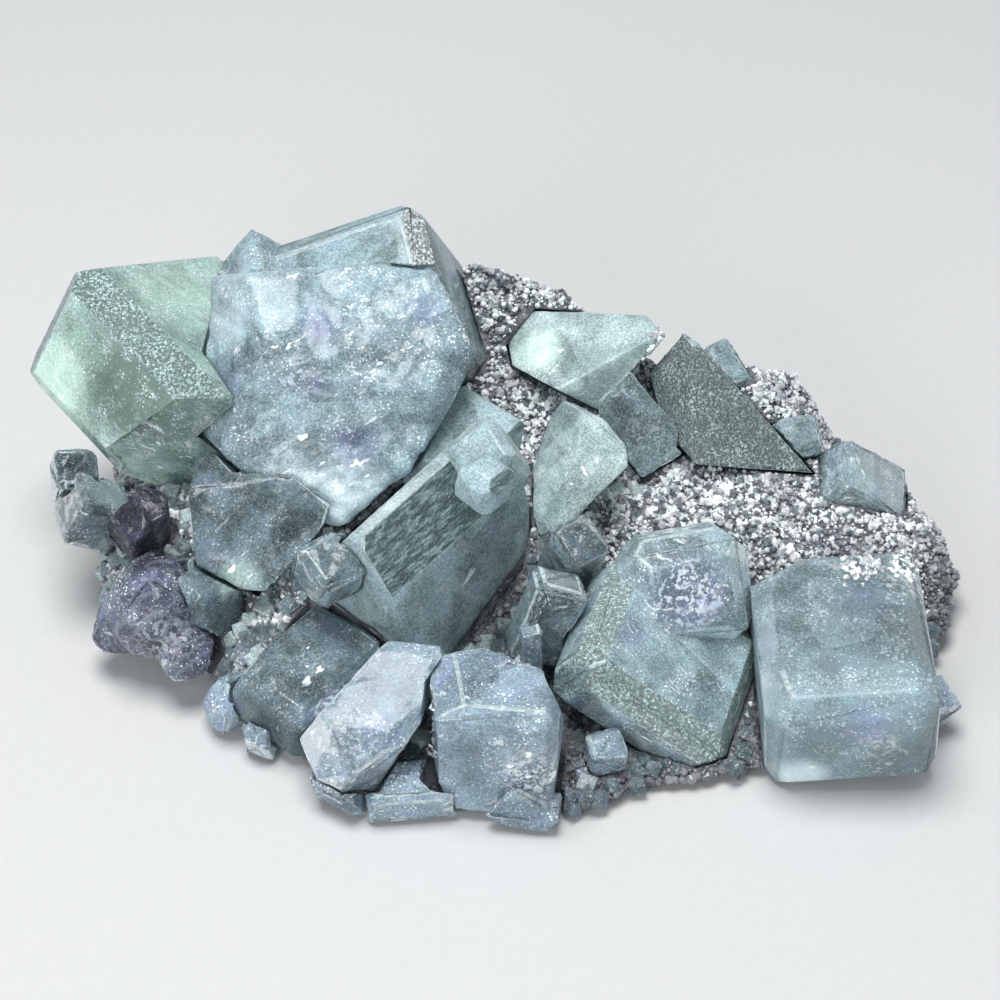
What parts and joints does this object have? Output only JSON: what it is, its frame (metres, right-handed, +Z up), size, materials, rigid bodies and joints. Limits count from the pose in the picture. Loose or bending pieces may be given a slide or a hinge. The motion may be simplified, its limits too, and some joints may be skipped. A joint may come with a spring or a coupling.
{
  "type": "fluorite specimen",
  "caption": "Cluster of pale green, bluish and violet-cored fluorite cubes, one large and broken, grown over a low lump of sparkling drusy quartz that rests flat.",
  "frame": {"origin": "middle of the flat patch on the underside of the lump, at table height", "axes": "+Z up, +X to the right along the specimen, the front faces -Y"},
  "size_m": [0.1284, 0.0856, 0.049],
  "materials": {
    "green_fluorite": "glossy cube faces with frosted bevels",
    "bluish_fluorite": "glossy, full of white veils, broken faces",
    "dark_fluorite": "glossy, deeper grey green",
    "purple_fluorite": "satin, zoned violet inside",
    "drusy_quartz": "rough, sparkling with small points"
  },
  "bodies": {
    "root": {"large_central_crystal": "bluish_fluorite", "left_green_crystal": "green_fluorite", "tilted_crystal_with_perched_cube": "green_fluorite", "right_cube": "green_fluorite", "front_block": "bluish_fluorite", "front_broken_crystal": "bluish_fluorite", "front_clear_crystal": "dark_fluorite", "striated_dark_crystal": "dark_fluorite", "pale_middle_crystal": "green_fluorite", "mint_back_crystal": "green_fluorite", "dark_gabled_crystal": "dark_fluorite", "grey_back_crystal": "dark_fluorite", "shaded_crystal_under_centre": "dark_fluorite", "right_ridge_crystal": "green_fluorite", "purple_crystal": "purple_fluorite", "small_round_crystal": "dark_fluorite", "dark_corner_crystal": "dark_fluorite", "left_edge_crystal_upper": "bluish_fluorite", "left_edge_crystal_middle": "bluish_fluorite", "left_edge_crystal_lower": "purple_fluorite", "middle_small_crystal_upper": "dark_fluorite", "middle_small_crystal_lower": "dark_fluorite", "middle_bright_chip": "bluish_fluorite", "front_white_chip": "bluish_fluorite", "front_foot_crystal": "dark_fluorite", "front_left_foot_crystal": "bluish_fluorite", "front_tip_crystal": "bluish_fluorite", "left_foot_crystal": "dark_fluorite", "left_foot_crystal_small": "dark_fluorite", "right_edge_crystal": "green_fluorite", "back_blue_crystal": "bluish_fluorite", "back_tip_crystal": "green_fluorite", "drusy_matrix": "drusy_quartz"}
  },
  "joints": []
}
